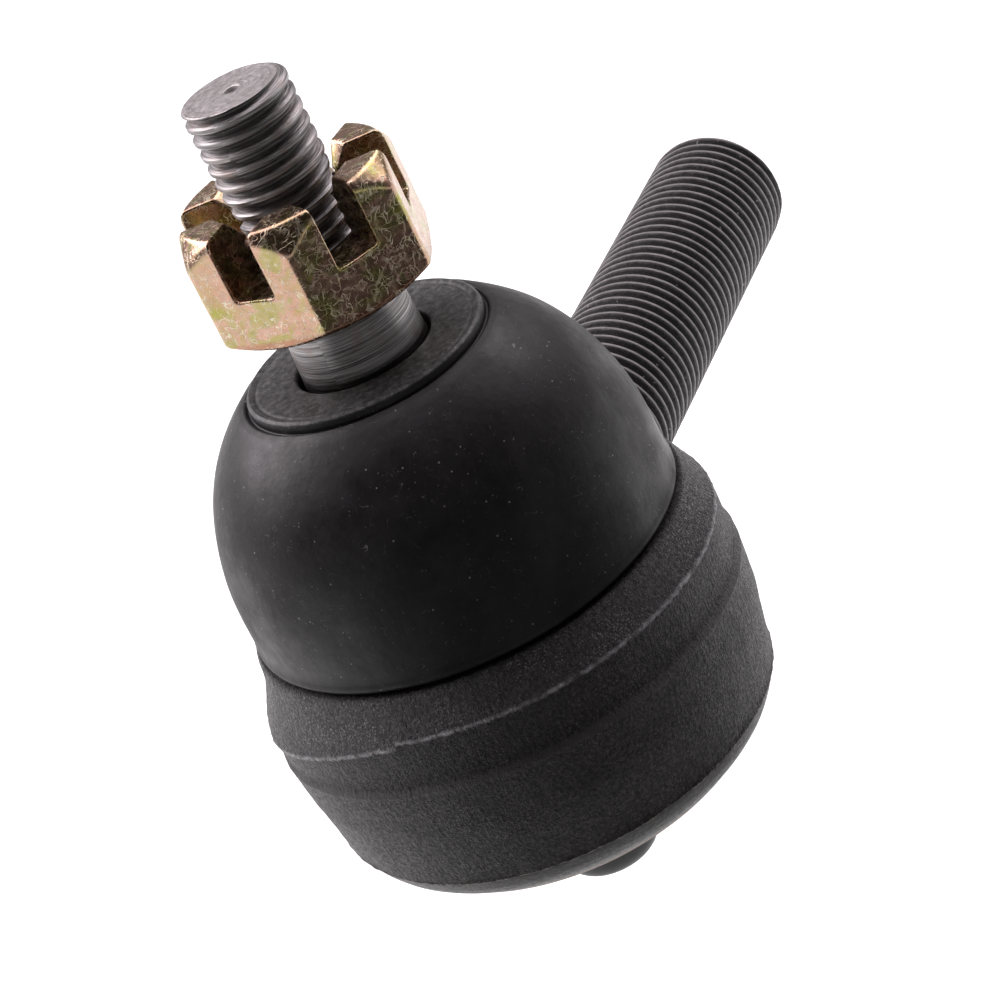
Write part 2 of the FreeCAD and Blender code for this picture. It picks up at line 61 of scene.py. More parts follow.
def solid(name, parts, material, sharp=35, weld=0.004):
    """One object from closed parts, each (points in mm, faces). Points closer than weld are joined."""
    points = []
    faces = []
    for part_points, part_faces in parts:
        start = sum(len(p) for p in points)
        points.append(np.asarray(part_points, float).reshape(-1, 3))
        faces.extend([[start + i for i in face] for face in part_faces])
    mesh = bpy.data.meshes.new(name)
    mesh.from_pydata((np.concatenate(points) * MM).tolist(), [], faces)
    made = bmesh.new()
    made.from_mesh(mesh)
    bmesh.ops.remove_doubles(made, verts=made.verts, dist=weld * MM)
    bmesh.ops.recalc_face_normals(made, faces=made.faces)
    made.to_mesh(mesh)
    made.free()
    obj = bpy.data.objects.new(name, mesh)
    bpy.context.scene.collection.objects.link(obj)
    shade(obj, sharp)
    if material:
        mesh.materials.append(material)
    return obj


def shade(obj, sharp):
    """Smooth shading, with edges sharper than that many degrees kept crisp."""
    obj.data.polygons.foreach_set("use_smooth", [True] * len(obj.data.polygons))
    obj.data.set_sharp_from_angle(angle=math.radians(sharp))


def combine(obj, other, operation, sharp=35):
    """Joins other to obj, or cuts it away, and removes other."""
    cut = obj.modifiers.new(operation, "BOOLEAN")
    cut.object = other
    cut.operation = operation
    cut.solver = "EXACT"
    bpy.context.view_layer.update()
    graph = bpy.context.evaluated_depsgraph_get()
    made = bpy.data.meshes.new_from_object(obj.evaluated_get(graph))
    obj.modifiers.clear()
    old = obj.data
    obj.data = made
    bpy.data.meshes.remove(old)
    bpy.data.objects.remove(other)
    shade(obj, sharp)
    return obj


def lattice(points, shift=0, loop=False):
    """Faces between rows of points (rows, columns, 3). The last column joins the first one, shift rows on."""
    rows, columns = points.shape[:2]
    index = np.arange(rows * columns).reshape(rows, columns)
    ahead = np.minimum(np.arange(rows) + shift, rows - 1)
    right = np.concatenate([index[:, 1:], index[ahead, :1]], axis=1)
    if loop:
        index = np.concatenate([index, index[:1]])
        right = np.concatenate([right, right[:1]])
    quads = np.stack([index[:-1], right[:-1], right[1:], index[1:]], axis=-1).reshape(-1, 4)
    return points.reshape(-1, 3), quads.tolist()


def turned(outline, columns, wobble=0.0, wobble_size=1.0, seed=0.0, loop=False):
    """An outline of (r, z) points turned about Z; the radius wanders by up to wobble."""
    outline = np.asarray(outline, float)
    angle = np.arange(columns) * 2 * math.pi / columns
    r = np.repeat(outline[:, :1], columns, axis=1)
    z = np.repeat(outline[:, 1:], columns, axis=1)
    if wobble:
        spots = np.stack([r * np.cos(angle), r * np.sin(angle), z], axis=-1)
        r = r + wobble * rough(spots, wobble_size, seed) * (r > 1)
    points = np.stack([r * np.cos(angle), r * np.sin(angle), z], axis=-1)
    return lattice(points, loop=loop)


def rough(points, size, seed=0.0):
    """Smooth noise from -1 to 1 at each point, with lumps of about that size."""
    flat = points.reshape(-1, 3) / size + seed
    found = [noise.noise(Vector(p)) for p in flat]
    return np.array(found).reshape(points.shape[:-1])


def rounded(corners, step, closed=False):
    """An outline through corners (r, z, fillet), with its corners rounded and points at most step apart."""
    count = len(corners)
    out = []
    for i, (r, z, fillet) in enumerate(corners):
        here = np.array([r, z], float)
        inner = closed or 0 < i < count - 1
        if not fillet or not inner:
            out.append(here)
            continue
        back = np.array(corners[(i - 1) % count][:2], float) - here
        ahead = np.array(corners[(i + 1) % count][:2], float) - here
        back /= np.linalg.norm(back)
        ahead /= np.linalg.norm(ahead)
        if np.linalg.norm(back + ahead) < 0.01:
            out.append(here)
            continue
        half = math.acos(max(-1.0, min(1.0, float(back @ ahead)))) / 2
        reach = fillet / math.tan(half)
        centre = here + (back + ahead) / np.linalg.norm(back + ahead) * fillet / math.sin(half)
        first = here + back * reach - centre
        last = here + ahead * reach - centre
        turn = math.atan2(first[0] * last[1] - first[1] * last[0], float(first @ last))
        pieces = max(3, int(abs(turn) * 6))
        for k in range(pieces + 1):
            a = turn * k / pieces
            spin = np.array([[math.cos(a), -math.sin(a)], [math.sin(a), math.cos(a)]])
            out.append(centre + spin @ first)
    if closed:
        out.append(out[0])
    dense = [out[0]]
    for following in out[1:]:
        gap = np.linalg.norm(following - dense[-1])
        if gap < 1e-6:
            continue
        pieces = max(1, int(math.ceil(gap / step)))
        start = dense[-1]
        dense.extend(start + (following - start) * (k + 1) / pieces for k in range(pieces))
    if closed:
        dense = dense[:-1]
    return np.array(dense)


def smooth_step(low, high, x):
    t = np.clip((x - low) / (high - low), 0, 1)
    return t * t * (3 - 2 * t)


def thread_drop(turns, pitch, crest_half, root_half):
    """How far a rounded 60 degree thread lies below its crest, that many turns past a crest."""
    away = np.abs(turns - np.round(turns)) * pitch
    flank = pitch / 2 - crest_half - root_half
    t = np.clip((away - crest_half) / flank, 0, 1)
    return flank / TAN_30 * (0.45 * t + 0.55 * t * t * (3 - 2 * t))


def spiral(start, end, pitch, per_turn, columns):
    """How far along a thread's grid points lie, and their angles. Its rows follow the helix."""
    angle = np.arange(columns) * 2 * math.pi / columns
    rows = per_turn + int(math.ceil((end - start) / pitch * per_turn)) + 1
    row = np.arange(rows)[:, None] - per_turn
    along = start + (row / per_turn + angle[None, :] / (2 * math.pi)) * pitch
    return np.clip(along, start, end), np.repeat(angle[None, :], rows, axis=0)


def closing_rings(edge, end, shares, dish=None):
    """Rings from an edge's radii to the axis, in the plane at end along the shaft: (radius, along) rows."""
    rows = []
    for share in shares:
        radius = edge * share
        drop = dish(radius) if dish else 0.0
        rows.append((radius, np.full_like(radius, end) - drop))
    return rows


# ---------------------------------------------------------------- net of an implicit surface

CORNERS = [(0, 0, 0), (1, 0, 0), (0, 1, 0), (1, 1, 0), (0, 0, 1), (1, 0, 1), (0, 1, 1), (1, 1, 1)]


def net(field, low, high, cell):
    """The surface where field is 0 as a closed mesh: one point for each grid cell it passes through."""
    axes = [np.arange(a, b + cell, cell) for a, b in zip(low, high)]
    grid = np.meshgrid(*axes, indexing="ij")
    value = field(*grid)
    shape = [n - 1 for n in value.shape]

    def corner(c):
        return value[tuple(slice(o, o + n) for o, n in zip(c, shape))]

    inside = sum((corner(c) < 0).astype(np.int8) for c in CORNERS)
    mixed = (inside > 0) & (inside < 8)
    where = np.argwhere(mixed)
    index = np.full(shape, -1)
    index[mixed] = np.arange(len(where))
    total = np.zeros((len(where), 3))
    crossings = np.zeros(len(where))
    for a in CORNERS:
        for axis in range(3):
            if a[axis]:
                continue
            b = list(a)
            b[axis] = 1
            va = corner(a)[mixed]
            vb = corner(b)[mixed]
            crossed = (va < 0) != (vb < 0)
            share = np.where(crossed, va / np.where(crossed, va - vb, 1), 0)
            spot = np.array(a, float) + share[:, None] * (np.array(b) - np.array(a))
            total += spot * crossed[:, None]
            crossings += crossed
    points = np.array(low) + (where + total / crossings[:, None]) * cell
    for _ in range(5):
        points = onto_surface(field, points, cell)
    return points, net_faces(value, index, shape)


def onto_surface(field, points, cell):
    """Moves points along the field's slope to where it is 0."""
    tiny = cell * 0.05
    value = field(*points.T)
    slope = np.stack([(field(*(points + np.eye(3)[i] * tiny).T) - value) / tiny for i in range(3)], axis=-1)
    move = -(value / np.maximum((slope**2).sum(1), 0.05))[:, None] * slope
    length = np.linalg.norm(move, axis=1, keepdims=True)
    return points + move * np.minimum(1, 0.6 * cell / np.maximum(length, 1e-9))


def net_faces(value, index, shape):
    """A quad round every grid edge that the surface crosses."""
    quads = []
    for axis in range(3):
        u, v = (axis + 1) % 3, (axis + 2) % 3
        span = [slice(1, shape[i]) for i in range(3)]
        span[axis] = slice(0, shape[axis])
        start = value[tuple(span)] < 0
        ahead = list(span)
        ahead[axis] = slice(1, shape[axis] + 1)
        finish = value[tuple(ahead)] < 0
        at = np.argwhere(start != finish)
        at[:, u] += 1
        at[:, v] += 1
        flip = start[start != finish]

        def cell_of(du, dv):
            shifted = at.copy()
            shifted[:, u] -= du
            shifted[:, v] -= dv
            return index[tuple(shifted.T)]

        quad = np.stack([cell_of(1, 1), cell_of(0, 1), cell_of(0, 0), cell_of(1, 0)], axis=-1)
        quad[~flip] = quad[~flip][:, ::-1]
        quads.append(quad)
    return np.concatenate(quads).tolist()


def soft_max(a, b, radius):
    """The larger of two fields, with the edge between them rounded."""
    h = np.maximum(radius - np.abs(a - b), 0) / radius
    return np.maximum(a, b) + h * h * radius / 4


def soft_min(a, b, radius):
    return -soft_max(-a, -b, radius)


# ---------------------------------------------------------------- materials

class Paint:
    """A procedural finish: one Principled shader, and patterns laid out in millimetres on the piece."""

    def __init__(self, name, **sockets):
        self.material = bpy.data.materials.new(name)
        self.material.use_nodes = True
        self.tree = self.material.node_tree
        self.tree.nodes.clear()
        self.shader = self.tree.nodes.new("ShaderNodeBsdfPrincipled")
        output = self.tree.nodes.new("ShaderNodeOutputMaterial")
        self.tree.links.new(self.shader.outputs["BSDF"], output.inputs["Surface"])
        for socket, value in sockets.items():
            self.shader.inputs[socket.replace("_", " ")].default_value = value
        coordinates = self.tree.nodes.new("ShaderNodeTexCoord")
        scale = self.node("ShaderNodeVectorMath", operation="SCALE")
        self.feed(scale.inputs[0], coordinates.outputs["Object"])
        scale.inputs["Scale"].default_value = 1 / MM
        self.mm = scale.outputs[0]
        apart = self.node("ShaderNodeSeparateXYZ")
        self.feed(apart.inputs[0], self.mm)
        self.x, self.y, self.z = apart.outputs

    def node(self, kind, **settings):
        made = self.tree.nodes.new(kind)
        for name, value in settings.items():
            setattr(made, name, value)
        return made

    def feed(self, socket, value):
        """Links a socket to another, or sets it to a number or colour."""
        if isinstance(value, bpy.types.NodeSocket):
            self.tree.links.new(value, socket)
        else:
            socket.default_value = value

    def math(self, operation, a, b=0.0, c=0.0, clamp=False):
        made = self.node("ShaderNodeMath", operation=operation, use_clamp=clamp)
        for socket, value in zip(made.inputs, (a, b, c)):
            self.feed(socket, value)
        return made.outputs[0]

    def times(self, *values):
        product = values[0]
        for value in values[1:]:
            product = self.math("MULTIPLY", product, value)
        return product

    def radius(self, a, b):
        return self.math("SQRT", self.math("ADD", self.times(a, a), self.times(b, b)))

    def low_side(self):
        """1 on the side where the shoulder's edge runs low, falling to 0 round the forging."""
        away = self.math("SUBTRACT", self.math("ARCTAN2", self.y, self.x), LOW_SIDE)
        away = self.math("DIVIDE", away, LOW_SPREAD)
        return self.math("EXPONENT", self.times(away, away, -1.0))

    def stretched(self, x, y, z):
        made = self.node("ShaderNodeVectorMath", operation="MULTIPLY")
        self.feed(made.inputs[0], self.mm)
        made.inputs[1].default_value = (x, y, z)
        return made.outputs[0]

    def vector(self, x, y, z):
        made = self.node("ShaderNodeCombineXYZ")
        for socket, value in zip(made.inputs, (x, y, z)):
            self.feed(socket, value)
        return made.outputs[0]

    def noise(self, scale, detail=2.0, roughness=0.5, where=None, distortion=0.0):
        made = self.node("ShaderNodeTexNoise")
        self.feed(made.inputs["Vector"], where or self.mm)
        made.inputs["Scale"].default_value = scale
        made.inputs["Detail"].default_value = detail
        made.inputs["Roughness"].default_value = roughness
        made.inputs["Distortion"].default_value = distortion
        return made.outputs[0]

    def wander(self, amount, scale, detail, roughness):
        """Noise about 0, for an edge that isn't quite straight."""
        return self.times(self.math("SUBTRACT", self.noise(scale, detail, roughness), 0.5), amount)

    def specks(self, scale):
        """Distance to the nearest of many scattered points."""
        made = self.node("ShaderNodeTexVoronoi", feature="F1")
        self.feed(made.inputs["Vector"], self.mm)
        made.inputs["Scale"].default_value = scale
        return made.outputs["Distance"]

    def span(self, value, low, high, out_low=0.0, out_high=1.0):
        """A value's place between low and high, held there, as a number from out_low to out_high."""
        made = self.node("ShaderNodeMapRange", clamp=True)
        for socket, number in zip(made.inputs, (value, low, high, out_low, out_high)):
            self.feed(socket, number)
        return made.outputs[0]

    def band(self, value, centre, half, soft):
        """1 near centre, falling to 0 further than half away."""
        away = self.math("ABSOLUTE", self.math("SUBTRACT", value, centre))
        return self.span(away, half, half + soft, 1.0, 0.0)

    def ramp(self, value, *stops):
        made = self.node("ShaderNodeValToRGB")
        self.feed(made.inputs[0], value)
        ends = made.color_ramp.elements
        while len(ends) < len(stops):
            ends.new(0.5)
        for stop, (place, colour) in zip(ends, stops):
            stop.position = place
            stop.color = (*colour, 1)
        return made.outputs[0]

    def mix(self, share, a, b):
        made = self.node("ShaderNodeMix", data_type="RGBA")
        self.feed(made.inputs[0], share)
        for socket, value in zip(made.inputs[6:8], (a, b)):
            self.feed(socket, value if isinstance(value, bpy.types.NodeSocket) else (*value, 1))
        return made.outputs[2]

    def bump(self, height, depth_mm, strength=1.0, under=None):
        made = self.node("ShaderNodeBump")
        self.feed(made.inputs["Height"], height)
        made.inputs["Distance"].default_value = depth_mm * MM
        made.inputs["Strength"].default_value = strength
        if under:
            self.feed(made.inputs["Normal"], under)
        return made.outputs[0]

    def wear(self, **sockets):
        """Links the shader's sockets."""
        for socket, value in sockets.items():
            self.feed(self.shader.inputs[socket.replace("_", " ")], value)
        return self.material


def grey(level, tint=(1, 1, 1)):
    return tuple(level * t for t in tint)


def forged_black():
    """Black coated forging: coarse grain with painted glints, edges rubbed bright and lightened further as a
    painted highlight, thread crests worn to steel.
    """
    paint = Paint("forged_black", Specular_IOR_Level=0.5)
    around_z = paint.radius(paint.x, paint.y)
    around_x = paint.radius(paint.y, paint.z)
    off_shank = paint.span(around_z, 25.1, 25.4, 1.0, 0.0)
    low_side = paint.low_side()
    edge_z = paint.math("ADD", paint.z, paint.times(low_side, EDGE_DROP))
    belt_z = paint.math("ADD", paint.z, paint.times(low_side, EDGE_DROP * BELT_SHARE))

    # Grain and dark streaks from the forging, and glints painted into the colour as bright specks, strongest
    # on the shoulder where the light falls.
    grain = paint.noise(2.6, 4.0, 0.7)
    fine = paint.noise(5.5, 2.0, 0.6)
    patch = paint.noise(0.16, 3.0, 0.6)
    streak = paint.noise(1.0, 4.0, 0.65, paint.stretched(2.2, 2.2, 0.45))
    base = paint.ramp(grain, (0.36, grey(0.004, (1.1, 1, 1.04))), (0.50, grey(0.020, (1.07, 1, 1.03))),
                      (0.66, grey(0.055, (1.06, 1, 1.03))))
    base = paint.mix(paint.span(streak, 0.35, 0.55, 0.55, 0.0), base, grey(0.007, (1.08, 1, 1.03)))
    on_shoulder = paint.times(paint.span(edge_z, EDGE_Z - 0.1, EDGE_Z + 0.2),
                              paint.span(around_z, 21.8, 22.3),
                              paint.span(around_z, 25.0, 25.3, 1.0, 0.0))
    painted_glint = paint.times(paint.span(fine, 0.57, 0.66), paint.span(patch, 0.4, 0.6, 0.2, 1.0),
                        paint.math("ADD", paint.times(on_shoulder, 0.5), 0.5))
    base = paint.mix(painted_glint, base, grey(0.30, (1.02, 1, 1)))

    # The shoulder's rubbed edge, worn bare in places and lightened as a painted highlight, and the ledge
    # under the belt.
    jag = paint.wander(0.7, 1.3, 4.0, 0.75)
    ridge = paint.times(paint.band(paint.math("ADD", edge_z, jag), EDGE_Z, 0.05, 0.24),
                        paint.span(around_z, EDGE_R - 0.5, EDGE_R - 0.15),
                        paint.span(paint.noise(0.7, 5.0, 0.8), 0.40, 0.62, 0.15, 1.0), off_shank)
    base = paint.mix(ridge, base, grey(0.50, (1, 1, 1.02)))
    # A painted highlight along the ledge, which faces up under the belt.
    ledge_highlight = paint.times(paint.band(paint.math("ADD", belt_z, paint.times(jag, 0.6)), BELT_Z, 0.25, 0.5),
                        paint.span(around_z, BELT_R - 0.6, BELT_R - 0.3, 0.0, 0.75), off_shank)
    base = paint.mix(ledge_highlight, base, grey(0.075, (1.03, 1, 1.02)))

    # The torn rim, and the rolled lip under it with a little rust at its lower edge.
    saw = paint.wander(0.55, 1.7, 4.0, 0.75)
    ragged_z = paint.math("ADD", paint.z, saw)
    rim = paint.times(paint.band(ragged_z, RIM_Z, 0.02, 0.06),
                      paint.span(paint.noise(1.3, 2.0), 0.3, 0.5, 0.35, 1.0),
                      paint.span(around_z, 20.0, 21.0))
    base = paint.mix(rim, base, grey(0.40, (1.08, 1, 0.86)))
    lip = paint.span(ragged_z, RIM_Z - 0.1, RIM_Z - 0.05, 1.0, 0.0)
    lip_grey = paint.ramp(paint.noise(1.2, 5.0, 0.7), (0.35, grey(0.022)), (0.65, grey(0.045)))
    base = paint.mix(lip, base, lip_grey)
    rust = paint.times(lip, paint.span(paint.z, LIP_Z + 1.9, LIP_Z + 0.2), 0.75)
    base = paint.mix(rust, base, (0.20, 0.090, 0.032))

    # The shank's thread: grey in its grooves, worn on its crests, with a few bright nicks.
    threaded = paint.span(paint.x, SHANK_THREAD_X - 1.2, SHANK_THREAD_X)
    crest_r = paint.math("ADD", around_x, paint.wander(0.5, 0.9, 4.0, 0.75))
    crest = paint.times(paint.span(crest_r, SHANK_R - 0.24, SHANK_R), threaded, 0.85)
    base = paint.mix(paint.times(threaded, 0.6), base, grey(0.035, (1.05, 1, 1.02)))
    base = paint.mix(crest, base, grey(0.23, (1.04, 0.99, 1.0)))
    nick = paint.times(paint.span(paint.noise(1.8, 1.0), 0.76, 0.80), threaded)
    base = paint.mix(nick, base, grey(0.45))

    metal = paint.math("MAXIMUM", paint.times(crest, 0.4), paint.math("MAXIMUM", rim, ridge))
    gloss = paint.math("SUBTRACT", paint.span(grain, 0.35, 0.65, 0.60, 0.36), paint.times(lip, 0.05))
    rough_skin = paint.math("SUBTRACT", 1.0, paint.times(paint.math("MAXIMUM", lip, threaded), 0.85))
    relief = paint.times(paint.math("ADD", grain, paint.times(fine, 0.5)), rough_skin)
    relief = paint.math("ADD", relief, paint.times(streak, rough_skin, 0.8))
    return paint.wear(Base_Color=base, Metallic=paint.times(metal, 0.7), Roughness=gloss,
                      Normal=paint.bump(relief, 0.62))


def plate_black():
    """Black coated pressed steel, smoother than the forging."""
    paint = Paint("plate_black", Specular_IOR_Level=0.5)
    grain = paint.noise(2.0, 4.0, 0.6)
    scuff = paint.span(paint.noise(0.5, 5.0, 0.75), 0.56, 0.7)
    base = paint.ramp(grain, (0.3, grey(0.014)), (0.75, grey(0.038)))
    base = paint.mix(paint.times(scuff, 0.5), base, grey(0.11))
    return paint.wear(Base_Color=base, Roughness=paint.span(grain, 0.3, 0.7, 0.5, 0.38),
                      Normal=paint.bump(grain, 0.04))


def turned_steel():
    """Bare steel with lathe lines round it, dull in the thread's roots, with a mottled end."""
    paint = Paint("turned_steel", Metallic=1.0)
    around = paint.radius(paint.x, paint.y)
    angle = paint.math("ARCTAN2", paint.y, paint.x)
    where = paint.vector(paint.times(around, 6.0), paint.times(angle, 0.5), paint.times(paint.z, 7.0))
    lines = paint.noise(1.0, 3.0, 0.65, where)
    blotch = paint.noise(0.55, 3.0, 0.6)
    base = paint.ramp(lines, (0.34, grey(0.07, (1.05, 1, 1))), (0.66, grey(0.40, (1.04, 1, 1.0))))
    base = paint.mix(paint.span(blotch, 0.5, 0.72, 0.0, 0.45), base, (0.24, 0.17, 0.14))
    on_thread = paint.span(paint.z, THREAD_LOW_Z, THREAD_LOW_Z + 0.5)
    root = paint.times(paint.span(around, STUD_R - 0.78, STUD_R - 0.32, 1.0, 0.0), on_thread)
    at_end = paint.span(paint.z, STUD_TOP_Z - 0.04, STUD_TOP_Z - 0.02)
    root = paint.times(root, paint.math("SUBTRACT", 1.0, at_end))
    base = paint.mix(paint.times(root, 0.8), base, grey(0.12, (1.1, 1, 0.97)))
    mottle = paint.noise(1.5, 4.0, 0.7)
    face = paint.ramp(mottle, (0.35, grey(0.30, (1.07, 1, 0.99))), (0.65, grey(0.56, (1.05, 1, 1))))
    base = paint.mix(at_end, base, face)
    gloss = paint.span(lines, 0.3, 0.7, 0.42, 0.26)
    gloss = paint.math("ADD", gloss, paint.times(root, 0.25))
    gloss = paint.math("ADD", gloss, paint.times(on_thread, 0.12))
    relief = paint.bump(lines, 0.045, 1.0)
    return paint.wear(Base_Color=base, Roughness=gloss, Normal=paint.bump(mottle, 0.03, 0.5, relief))


def yellow_zinc():
    """Yellow passivated plating: gold with pink and green clouds, scratched, coppery where it is thin."""
    paint = Paint("yellow_zinc", Metallic=1.0)
    cloud = paint.noise(0.22, 3.0, 0.6, distortion=0.6)
    base = paint.ramp(cloud, (0.36, (0.33, 0.31, 0.08)), (0.45, (0.42, 0.29, 0.15)),
                      (0.54, (0.50, 0.29, 0.22)), (0.62, (0.36, 0.31, 0.12)))
    pale = paint.span(paint.noise(0.9, 4.0, 0.65), 0.4, 0.75, 0.0, 0.55)
    base = paint.mix(pale, base, (0.52, 0.41, 0.32))
    spots = paint.span(paint.noise(3.6, 2.0, 0.6), 0.66, 0.74, 0.0, 0.5)
    base = paint.mix(spots, base, (0.10, 0.07, 0.03))
    scratch = paint.band(paint.noise(0.55, 1.5, 0.5, distortion=1.2), 0.5, 0.004, 0.010)
    other = paint.band(paint.noise(1.1, 1.0, 0.5, distortion=0.8), 0.5, 0.004, 0.018)
    scratch = paint.math("MAXIMUM", scratch, paint.times(other, 0.7))
    scratch = paint.times(scratch, paint.span(paint.noise(0.8, 2.0), 0.36, 0.50))
    low = paint.span(paint.math("ADD", paint.z, paint.times(paint.noise(1.4, 3.0, 0.6), 0.6)),
                     NUT_LOW_Z + 1.25, NUT_LOW_Z + 1.6, 1.0, 0.0)
    base = paint.mix(paint.times(low, 0.8), base, (0.36, 0.18, 0.11))
    base = paint.mix(paint.times(scratch, 0.8), base, (0.80, 0.74, 0.58))
    gloss = paint.span(paint.noise(1.2, 3.0, 0.6), 0.3, 0.7, 0.18, 0.33)
    gloss = paint.math("ADD", gloss, paint.times(scratch, 0.2))
    relief = paint.bump(paint.noise(0.7, 4.0, 0.55), 0.05, 0.6)
    return paint.wear(Base_Color=base, Roughness=gloss, Normal=paint.bump(scratch, 0.02, 0.6, relief))


def boot_rubber():
    """Matt black moulded rubber, glossier where it was handled, with lighter patches painted in as a soft
    sheen, dust specks and a scuffed flat lip.
    """
    paint = Paint("boot_rubber", Specular_IOR_Level=0.30)
    skin = paint.noise(1.1, 4.0, 0.6)
    base = paint.ramp(skin, (0.3, grey(0.006, (1.1, 1, 1.08))), (0.75, grey(0.013, (1.08, 1, 1.07))))
    # Lighter patches painted into the colour as a soft sheen.
    painted_sheen = paint.span(paint.noise(0.09, 3.0, 0.6, distortion=0.8), 0.48, 0.72)
    base = paint.mix(paint.times(painted_sheen, 0.6), base, grey(0.030, (1.06, 1, 1.06)))
    on_lip = paint.times(paint.span(paint.z, BOOT_LIP_Z - 0.4, BOOT_LIP_Z - 0.15),
                         paint.span(paint.radius(paint.x, paint.y), 11.9, 12.1, 1.0, 0.0))
    scuff = paint.ramp(paint.noise(1.3, 6.0, 0.8), (0.38, grey(0.022)), (0.5, grey(0.060)),
                       (0.62, grey(0.13)))
    base = paint.mix(on_lip, base, scuff)
    dust = paint.span(paint.specks(0.8), 0.045, 0.085, 1.0, 0.0)
    dust = paint.times(dust, paint.span(paint.noise(1.3, 2.0), 0.44, 0.52))
    powder = paint.span(paint.specks(1.7), 0.06, 0.14, 1.0, 0.0)
    powder = paint.times(powder, paint.span(paint.noise(0.6, 3.0, 0.6), 0.46, 0.62, 0.0, 0.5))
    dust = paint.math("MAXIMUM", dust, powder)
    lint = paint.band(paint.noise(0.5, 1.0, 0.5, distortion=1.5), 0.5, 0.001, 0.003)
    lint = paint.times(lint, paint.span(paint.noise(0.9, 2.0), 0.56, 0.62))
    base = paint.mix(paint.times(dust, 0.8), base, grey(0.34))
    base = paint.mix(paint.times(lint, 0.6), base, grey(0.22))
    gloss = paint.span(paint.noise(0.22, 4.0, 0.65), 0.36, 0.66, 0.40, 0.58)
    return paint.wear(Base_Color=base, Roughness=gloss, Normal=paint.bump(skin, 0.05, 0.8))


def plain(name, base, roughness, metallic, grain_size=1.5, depth=0.02):
    """A finish with a little grain, for pieces that are mostly out of sight."""
    paint = Paint(name, Metallic=metallic)
    grain = paint.noise(1 / grain_size, 4.0, 0.6)
    colour = paint.ramp(grain, (0.3, grey(0.8, base)), (0.7, base))
    gloss = paint.span(grain, 0.3, 0.7, roughness + 0.06, roughness - 0.04)
    return paint.wear(Base_Color=colour, Roughness=gloss, Normal=paint.bump(grain, depth))


# ---------------------------------------------------------------- sizes

# The forging. The edge round its shoulder runs EDGE_DROP lower at azimuth LOW_SIDE, the belt a share of that.
EDGE_R, EDGE_Z = 24.25, 4.1
BELT_R, BELT_Z = 24.75, -1.3
EDGE_DROP, BELT_SHARE = 4.2, 0.35
LOW_SIDE, LOW_SPREAD = math.radians(122), math.radians(40)
RIM_Z = -13.8
LIP_Z = -18.2
CAVITY_R = 16.2
NECK_R, NECK_X = 7.6, 29.2
SHANK_R = 7.93
SHANK_THREAD_X, SHANK_END_X = 30.0, 81.2
SHANK_PITCH, SHANK_CREST_X, SHANK_CREST_TURN = 1.5, 42.1, math.radians(30)

# The stud. Its thread has a crest at STUD_CREST_Z on the camera's side.
CAMERA_AZIMUTH = math.radians(214.2)
BALL_R, BALL_FLAT_Z = 12.0, -10.7
STUD_R = 4.95
THREAD_LOW_Z, STUD_TOP_Z = 38.3, 59.4
STUD_PITCH, STUD_CREST_Z = 1.5, 49.3
PIN_HOLE_R, PIN_HOLE_Z = 1.3, 47.2

NUT_LOW_Z, NUT_HEIGHT = 38.1, 11.8
NUT_FLATS, NUT_CLOCKING = 20.2, math.radians(24)
NUT_CROWN_R, NUT_CROWN_DROP = 9.9, 2.5
NUT_SLOT_WIDTH, NUT_SLOT_FLOOR = 4.4, 5.5

BOOT_R, BOOT_LIP_Z = 21.8, 31.6
FLOOR_Z = -39.0
STUDIO_TINT = (1, 0.93, 0.97)


# ---------------------------------------------------------------- pieces

